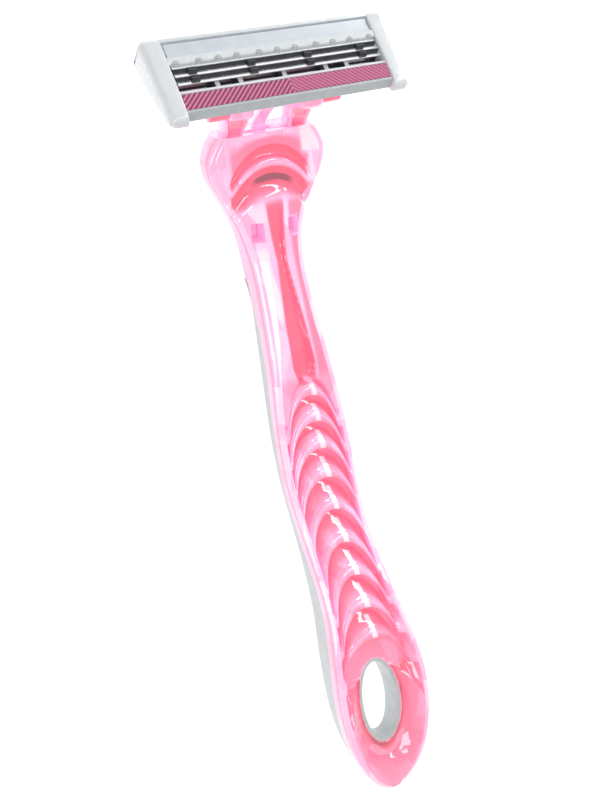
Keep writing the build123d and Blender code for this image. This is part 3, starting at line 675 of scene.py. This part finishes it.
def grip_tones(tones, place, tone, x, w):
    """Painted reflection on paler flanks and crests, narrowed painted cavity shade and a painted strip of
    light along the fins.
    """
    tones = np.where(tones < 0.3, crest_paleness * tones, tones)
    flank = flank_paleness * smooth_step(w - 2.9, w - 1.9, np.abs(x))
    flank = flank * (1.0 if place > grip_flank_end else 0.0)
    tones = toward(tones, edge_tone, flank)
    # painted cavity shade, narrowed to the apex
    cavity = smooth_step(*cavity_fade, np.abs(x + cavity_shift)) if tone >= 0.6 else 1.0
    narrowed = salmon_tone + (tones - salmon_tone) * cavity * cavity_share
    tones = np.where(tones > salmon_tone, narrowed, tones)
    # painted highlight strip along the fins
    glint = smooth_step(*glint_rise, x) * smooth_step(*glint_fall, x)
    glint = glint * (1.0 if tone < 0.5 and place > grip_glint_end else 0.0)
    return tones * (1 - glint) + glint_tone * glint


def neck_tones(tones, x, y):
    """Painted shade in the groove between flanks painted pale with reflection, the right flank a little
    darker.
    """
    groove_half = table(y, groove_run)
    on_neck = smooth_step(*neck_in, y) * smooth_step(*neck_out, y)
    flank = smooth_step(groove_half + 0.1, groove_half + 0.5, np.abs(x))
    neck = groove_tone - groove_tone * flank
    neck = neck + right_flank_tone * smooth_step(*right_flank, x) * flank
    return toward(tones, neck, on_neck)


def top_tones(place, tone, x, y, w, hollow):
    """Tones of painted shade, highlight and reflection across one row of the top surface."""
    on_hood = place > hood_start
    fade = crown_share(x) if on_hood else 1.0
    if tone > deepest_tone and on_hood:
        fade = fade * (0.5 + 0.5 * smooth_step(*deepest_fade, np.abs(x - deepest_shift)))
    tones = base_tone + (tone - base_tone) * fade
    tones = tones + np.where(place < hood_start, hollow_shade_tone * hollow, 0)
    if tail_start < place < fin_apexes[0] + fin_reach:
        tones = grip_tones(tones, place, tone, x, w)
    tones = neck_tones(tones, x, y)
    # painted reflection on the hood's cheeks
    cheek = smooth_step(*cheek_along, y) * smooth_step(*cheek_across, np.abs(x))
    tones = tones * (1 - cheek)
    # painted highlights at the mouth and on the neck
    mouth_glare = smooth_step(*mouth_glare_across, x) * smooth_step(*mouth_glare_along, y)
    neck_glare = smooth_step(*neck_glare_in, y) * smooth_step(*neck_glare_out, y)
    glare = mouth_glare + smooth_step(*neck_glare_across, x) * neck_glare
    tones = tones * (1 - glare) + glare_tone * glare
    reach = ring_reach(x, y, hole_half_x + rim_width, hole_half_y + rim_width)
    return toward(tones, rim_tone, smooth_step(*rim_fade, reach))


# ---- handle: the clear shell -------------------------------------------------------------------
socket_low, socket_high = -1.6, 1.1
roof_wall = 0.55                         # least wall over the socket
roof_across, roof_along = (6.9, 6.4), (35.5, 36.5)


def keep_roof(x, y, z):
    """Heights of the top surface, lifted where they would break into the socket."""
    over_socket = smooth_step(*roof_across, np.abs(x)) * smooth_step(*roof_along, y)
    roof = hub_origin.z + (socket_high + roof_wall + (y - hub_origin.y) * slide.z) / slide.y
    return np.where(over_socket > 0, z + np.maximum(roof - z, 0) * over_socket, z)


def top_points(place, drop, tone):
    """Points and tones of one row across the top, from rail to rail."""
    x, y = solve_row(place, lambda w: inner_share * (w - np.minimum(rail_foot, rail_foot_most * w)))
    w = width_at(y)
    fall = surface_drop(x, y, drop, w)
    z = keep_roof(x, y, top_at(y) - fall - crown_at(y) * (x / w) ** 2)
    points = [tuple(point) for point in np.stack([x, y, z], 1)]
    return points, list(top_tones(place, tone, x, y, w, fall - drop))


def edge_fall(x, y, drop, w):
    """Fall of the surface near the edge, where only the hood keeps its hollows."""
    return surface_drop(x, y, drop * np.where(y > hood_start, 1.0, 0.0), w)


def side_points(place, drop):
    """Points and tones of one row from the right rail, down the side and round the lower edge."""
    points = []
    tones = []
    for offset, most, lower in rail_lines:
        x, y = solve_row(place, lambda w: np.atleast_1d(w - np.minimum(offset, most * w)))
        w = width_at(y)
        z = top_at(y) - edge_fall(x, y, drop, w) - crown_at(y) * (x / w) ** 2 - lower
        points.append((x[0], y[0], z[0]))
        tones.append(0.0)
    x, y = solve_row(
        place, lambda w: w - np.minimum(edge_round, edge_round_most * w) * (1 - np.sin(arc))
    )
    w = width_at(y)
    z = top_at(y) - edge_fall(x, y, drop, w) - crown_at(y) * (1 - edge_round / w) ** 2
    z = z - edge_round * (1 - np.cos(arc))
    points += [tuple(point) for point in np.stack([x, y, z], 1)]
    tones += edge_tones
    edge_y, edge_z, wide = y[-1], z[-1], w[-1]
    low = seam_at(edge_y) if place < back_start else belly_at(edge_y)
    under_round = seam_round + neck_round * float(smooth_step(*neck_rounding, edge_y))
    under_round += hood_round * float(smooth_step(*hood_rounding, edge_y))
    inset = min(under_round, 0.4 * wide)
    for share in side_steps:
        points.append((wide, edge_y, edge_z + (low + under_round - edge_z) * share))
        tones.append(edge_tones[-1] if share < 0.2 else side_tone)
    for angle in np.linspace(0, pi / 2, 5):
        height = low + under_round * (1 - sin(angle))
        points.append((wide - inset * (1 - cos(angle)), edge_y, height))
        tones.append(under_round_tone)
    under_x = np.linspace(wide - inset, inset - wide, under_count + 1)[1:-1]
    return points, tones, [(x, edge_y, low) for x in under_x]


def shell_row(place, drop, tone):
    """One closed loop round the handle, with its tones."""
    inner, inner_tones = top_points(place, drop, tone)
    right, right_tones, under = side_points(place, drop)
    left = [(-x, y, z) for x, y, z in right][::-1]
    tones = inner_tones + right_tones + [under_tone] * len(under) + right_tones[::-1]
    return inner + right + under + left, tones


shell_rows = [shell_row(*row) for row in rows]
loops = np.array([loop for loop, _ in shell_rows], float)
shell_painted_tones = np.array([tones for _, tones in shell_rows], float)
# the mouth leans with the hub's axis
lean = slide.z / slide.y * smooth_step(*mouth_lean, loops[:, :, 1])
loops[:, :, 1] += lean * (top_at(loops[:, :, 1]) - loops[:, :, 2])
shell = make_object(
    "clear_shell", tube_mesh("clear_shell", loops, shell_painted_tones), clear_pink, "handle",
    ["handle_shell"],
)
cutter_length = 30.0
hole_cutter = prism_mesh(
    "hole", ellipse(hole_half_x + rim_width, hole_half_y + rim_width, hole_y), plan_matrix,
    cutter_length, 0,
)
sockets = [(6.2, 7.8), (4.7, 18.6)]      # half width, depth
socket_mouth = 3.0
socket_cutters = []
for half, deep in sockets:
    outline = [
        (socket_mouth, socket_low), (socket_mouth, socket_high), (-deep, socket_high),
        (-deep, socket_low),
    ]
    socket_cutters.append(prism_mesh("socket", outline, hub_matrix(-half), 2 * half, 0))
window_near, window_far, window_top = -14.6, -17.9, 9.0
window_width = 2.2
window_starts = (-4.5, 2.3)
window_outline = [
    (window_near, 0.0), (window_near, window_top), (window_far, window_top), (window_far, 0.0),
]
window_cutters = [
    prism_mesh("window", window_outline, hub_matrix(start), window_width, 0)
    for start in window_starts
]
cut(shell, [hole_cutter, *socket_cutters, *window_cutters])
shade(shell, 40)

# ---- back grip -----------------------------------------------------------------------------------
back_inset = 0.35
back_places = [*np.arange(back_start - 0.05, -66.0, -1.0), *np.linspace(-66.2, -69.45, 8)]


def back_loop(place):
    """One closed loop round the back grip."""
    wide = float(width_at(np.array(place))) - back_inset
    high = float(seam_at(place)) - 0.05
    shoulder = high - 0.3
    low = float(belly_at(place))
    round_off = min(2.0, 0.75 * (high - low))
    top = [(share * (wide - 0.3), place, high) for share in np.linspace(-1, 1, 15)]
    side = [(wide - 0.05, place, high - 0.1), (wide, place, shoulder)]
    side += [(wide, place, shoulder + (low + round_off - shoulder) * share) for share in (0.35, 0.7, 1.0)]
    side += [
        (wide - round_off * (1 - cos(a)), place, low + round_off * (1 - sin(a)))
        for a in np.linspace(0, pi / 2, 9)[1:]
    ]
    flat_half = wide - round_off
    under = [(x, place, low) for x in np.linspace(flat_half, -flat_half, 13)[1:-1]]
    return top + side + under + [(-x, y, z) for x, y, z in side][::-1]


back_loops = np.array([back_loop(place) for place in back_places], float)
back = make_object(
    "back_grip_moulding", tube_mesh("back_grip_moulding", back_loops), back_white_shaded, "handle",
    ["back_grip"],
)
bore_outline = ellipse(hole_half_x, hole_half_y, hole_y)
cut(back, [prism_mesh("bore", bore_outline, plan_matrix, cutter_length, 0)])
shade(back, 40)

# ---- pieces carried over from the part -----------------------------------------------------------
paint("cartridge_base", base_plastic_gap_shade)
paint("strip_carrier", white)
paint("guard_bar", grey)
for name in ("blade_1", "blade_2", "blade_3"):
    paint(name, steel)
for name in ("blade_spacer_1", "blade_spacer_2"):
    paint(name, black)
for name in ("return_tongue", "latch_left", "latch_right"):
    paint(name, clear_pink)

# ---- hub: base plate, rounded arms and pivot pegs ----------------------------------------------
plate_low, plate_high = -1.5, 1.0
plate_half = 6.1
base_length = 7.0
plate_lip = 0.3
plate_outline = [
    (plate_lip, plate_low), (plate_lip, plate_high), (-base_length, plate_high),
    (-base_length, plate_low),
]
hub_plate = prism(
    "hub_plate", plate_outline, hub_matrix(-plate_half), 2 * plate_half, 0.2, clear_pink, "hub",
    ["hub_yoke"],
)
slot_half = 1.4
slot_outline = [(1.0, -3.0), (1.0, 3.0), (-1.0, 3.0), (-1.0, -3.0)]
cut(hub_plate, [prism_mesh("tongue_slot", slot_outline, hub_matrix(-slot_half), 2 * slot_half, 0)])
eye_s, eye_t = on_hub(pivot)
arm_stations = [                     # s, t, half depth, inner x, outer x
    (-0.6, -0.25, 1.0, 4.4, 7.3),
    (0.3, -0.2, 1.15, 4.2, 7.5),
    (0.75, 0.4, 1.7, 4.1, 7.6),
    (1.3, 1.1, 2.0, 4.0, 7.7),
    (2.4, 1.8, 1.9, 3.6, 7.9),
    (3.5, 2.5, 1.75, 3.3, 8.2),
    (4.4, 3.4, 1.6, 3.4, 8.4),
    (4.9, 4.6, 1.5, 3.8, 8.4),
    (4.77, 5.73, 1.5, 4.0, 8.4),
    (4.6, 6.5, 1.3, 4.1, 8.3),
    (4.5, 6.95, 0.95, 4.3, 8.1),
    (4.45, 7.2, 0.45, 4.8, 7.6),
]
arm_squareness = 0.55
arm_hollow_depth = 0.7
peg_start, peg_length, peg_radius = 8.0, 3.6, 1.0


def rounded(value):
    """Sine or cosine drawn out towards a square."""
    return abs(value) ** arm_squareness * (1 if value > 0 else -1)


def arm_loop(index, side):
    """Points and tones round one station of an arm, hollow along its front, with painted shade in the
    hollow.
    """
    centre_s, centre_t, half_depth, inside, outside = arm_stations[index]
    before = arm_stations[max(index - 1, 0)]
    after = arm_stations[min(index + 1, len(arm_stations) - 1)]
    along = Vector((after[0] - before[0], after[1] - before[1])).normalized()
    points = []
    tones = []
    for turn in np.linspace(0, 2 * pi, 48, endpoint=False):
        across_x, across_t = rounded(cos(turn)), rounded(sin(turn))
        front = max(across_t, 0) * float(smooth_step(0.75, 0.45, abs(across_x)))
        front *= float(smooth_step(0.5, 2.0, index) * smooth_step(8.5, 6.5, index))
        reach = half_depth * across_t - arm_hollow_depth * front
        x = side * ((inside + outside) / 2 + (outside - inside) / 2 * across_x)
        local = Vector((centre_s - along.y * reach, centre_t + along.x * reach, x))
        points.append(tuple(hub_matrix(0) @ local))
        # painted shade, deeper in the front hollow
        tones.append(0.06 + 0.22 * front)
    return points, tones


def hub_arm(side, side_name):
    """One arm of the hub, with the peg that the cartridge turns on."""
    name = "hub_arm_" + side_name
    stations = [arm_loop(index, side) for index in range(len(arm_stations))]
    arm_loops = np.array([points for points, _ in stations])
    arm_tones = np.array([tones for _, tones in stations])
    arm_mesh = tube_mesh(name, arm_loops, arm_tones)
    arm = make_object(name, arm_mesh, clear_pink, "hub", ["hub_yoke"])
    shade(arm, 60)
    start = peg_start if side > 0 else -(peg_start + peg_length)
    turns = np.linspace(0, 2 * pi, 32, endpoint=False)
    peg_outline = [(eye_s + peg_radius * cos(a), eye_t + peg_radius * sin(a)) for a in turns]
    peg = prism(
        "pivot_peg_" + side_name, peg_outline, hub_matrix(start), peg_length, 0.2, clear_pink, "hub",
        ["hub_yoke"],
    )
    # one darker tone of painted shade for the whole peg
    tone_all(peg, 0.5)


hub_arm(-1, "left")
hub_arm(1, "right")

# ---- cartridge: end caps, top bar and lubricating strip ----------------------------------------
cap_profile = [                      # v up the face, n out of it, round the end cap
    (0.95, -0.75), (0.95, -4.1), (0.3, -4.9), (-1.6, -4.9), (-3.6, -4.6), (-6.4, -3.9), (-9.2, -3.0),
    (-11.2, -2.3), (-12.3, -1.8), (-12.75, -1.2), (-12.7, -0.6), (-12.3, -0.1), (-11.4, 0.2),
    (-8.0, 0.3), (-4.0, 0.3), (-0.6, 0.3), (0.45, 0.05),
]


def smooth_outline(points, steps=4):
    """Closed Catmull-Rom line through points."""
    count = len(points)
    line = []
    for index in range(count):
        a, b, c, d = [np.array(points[(index + k) % count]) for k in (-1, 0, 1, 2)]
        for step in range(steps):
            t = step / steps
            line.append(0.5 * (2 * b + (c - a) * t + (2 * a - 5 * b + 4 * c - d) * t ** 2
                               + (3 * b - a - 3 * c + d) * t ** 3))
    return np.array(line)


def inset_outline(outline, amount):
    """Outline moved inwards by amount along its own normals."""
    ahead = np.roll(outline, -1, 0) - np.roll(outline, 1, 0)
    length = np.linalg.norm(ahead, axis=1, keepdims=True)
    normal = np.stack([-ahead[:, 1], ahead[:, 0]], 1) / length
    middle = outline.mean(0)
    sign = np.sign(((middle - outline) * normal).sum())
    return outline + normal * amount * sign


cap_round = 1.15
cap_edge = [                             # out from the recess, inset of the outline
    (0.0, 0.12), (0.06, 0.03), (0.15, 0.0), (0.9, 0.0),
]
cap_thickness = [                        # down the face, thickness
    (0, 2.4), (9.2, 1.6), (11.2, 1.2), (12.7, 0.7),
]
cap_taper, cap_taper_length = 0.14, 13.0
most_inset = 0.75                        # of the local thickness


def end_cap(name, side):
    """Rounded white cap at one end of the cartridge."""
    outline = smooth_outline(cap_profile)
    stations = [(recess_half + out, amount) for out, amount in cap_edge]
    for angle in np.linspace(0, pi / 2, 9):
        stations.append((cap_half - cap_round * (1 - sin(angle)), cap_round * (1 - cos(angle))))
    matrix = np.array(face_matrix(0))
    cap_loops = []
    thickness = table(-outline[:, 0], cap_thickness)[:, None]
    for u, amount in stations:
        line = inset_outline(outline, np.minimum(amount, most_inset * thickness))
        taper = 1 - cap_taper * np.clip(-line[:, 0] / cap_taper_length, 0, 1)
        wide = recess_half + (u - recess_half) * taper
        local = np.column_stack([line, side * wide, np.ones(len(line))])
        cap_loops.append((matrix @ local.T).T[:, :3])
    mesh = tube_mesh(name, np.array(cap_loops))
    item = make_object(name, mesh, white, "cartridge", ["cap_frame"])
    shade(item, 50)


end_cap("end_cap_left", -1)
end_cap("end_cap_right", 1)

bar_overlap = 0.1
top_bar_outline = [
    (0.9, -0.35), (0.9, -4.35), (0.3, -4.95), (0.02, -4.95), (0.02, 0.12), (0.5, 0.1),
]
prism(
    "top_bar", top_bar_outline, face_matrix(-recess_half - bar_overlap),
    2 * (recess_half + bar_overlap), 0.25, white, "cartridge", ["cap_frame"],
)

strip_clearance = 0.35
wax_outline = [
    (-0.32, 0.02), (-0.9, -0.1), (-1.7, -0.1), (-2.3, 0.0), (-2.52, 0.1), (-2.52, -0.42),
    (-0.32, -0.42),
]
prism(
    "wax_strip", wax_outline, face_matrix(-recess_half + strip_clearance),
    2 * (recess_half - strip_clearance), 0.04, strip_wax, "cartridge",
    ["lubricating_strip"],
)

# ---- guard strip: slanting fins that mirror at the middle ----------------------------------------
fin_pitch, fin_lean, fin_height = 0.82, 2.7, 0.42
guard_low, guard_high, guard_floor = -10.95, -8.45, -0.68
guard_half = recess_half - 0.15
guard_base = 0.3                         # from the floor to the foot of the fins
guard_columns = np.linspace(-guard_half, guard_half, 521)
guard_steps = np.linspace(guard_low + 0.02, guard_high - 0.02, 13)


def guard_loop(u):
    """Points and tones of painted shade across the strip at u."""
    lag = fin_lean * (guard_high - guard_steps) / (guard_high - guard_low)
    ridge = np.clip(0.5 + 0.95 * np.cos(2 * pi * (abs(u) - lag) / fin_pitch), 0, 1)
    level = guard_floor + guard_base + fin_height * ridge
    line = [(guard_low, guard_floor), *zip(guard_steps, level), (guard_high, guard_floor)]
    points = [tuple(face_matrix(0) @ Vector((v, n, u))) for v, n in line]
    # painted shade: darkest on the floor and between the fins, lightest on their ridges
    return points, [1.0, *(1 - ridge), 1.0]


guard_rows = [guard_loop(u) for u in guard_columns]
guard_loops = np.array([points for points, _ in guard_rows])
guard_shade_tones = np.array([tones for _, tones in guard_rows])
guard = make_object(
    "guard_fins", tube_mesh("guard_fins", guard_loops, guard_shade_tones), elastomer, "cartridge",
    ["guard_strip"],
)
shade(guard, 50)

# ---- floor, lights and camera -----------------------------------------------------------------------
floor_gap = 0.0002
bpy.ops.mesh.primitive_plane_add(size=6.0, location=(0, 0, cad_bounds[0][2] - floor_gap))
floor = bpy.context.object
floor.name = "floor"
floor_paper = new_material(
    "floor_paper", (0.9, 0.9, 0.915), 0.9, Emission_Color=(1, 1, 1, 1), Emission_Strength=0.45
)
floor.data.materials.append(floor_paper)

world = bpy.data.worlds.new("studio")
world.use_nodes = True
background = world.node_tree.nodes["Background"]
background.inputs["Color"].default_value = (1.0, 1.0, 1.0, 1)
background.inputs["Strength"].default_value = 0.52
bpy.context.scene.world = world


def area_light(name, location, target, size, power):
    """Soft box at location, turned to target."""
    light = bpy.data.lights.new(name, "AREA")
    light.shape = "RECTANGLE"
    light.size, light.size_y = size
    light.energy = power
    item = bpy.data.objects.new(name, light)
    item.location = location
    item.rotation_euler = (Vector(target) - Vector(location)).to_track_quat("-Z", "Y").to_euler()
    bpy.context.scene.collection.objects.link(item)


area_light("softbox_left", (-0.24, -0.02, 0.34), (0, 0, 0), (0.12, 0.36), 0.55)
area_light("strip_right", (0.2, 0.19, 0.24), (0, 0, 0), (0.05, 0.5), 0.55)
area_light("low_right", (0.40, 0.30, 0.08), (0, 0.04, 0.01), (0.14, 0.3), 0.8)

camera_place = Vector((-0.0632, 0.0450, 0.1427))
picture_right = Vector((0.869, -0.2046, 0.450)).normalized()
camera_back = Vector((-0.4008, 0.2415, 0.884)).normalized()
camera_up = camera_back.cross(picture_right).normalized()
camera_right = camera_up.cross(camera_back)
camera_data = bpy.data.cameras.new("camera")
camera_data.lens = 38.25
camera_data.clip_start = 0.001
camera = bpy.data.objects.new("camera", camera_data)
camera_axes = Matrix((camera_right, camera_up, camera_back)).transposed()
camera.matrix_world = Matrix.Translation(camera_place) @ camera_axes.to_4x4()
bpy.context.scene.collection.objects.link(camera)
bpy.context.scene.camera = camera
bpy.context.scene.view_settings.view_transform = "Standard"
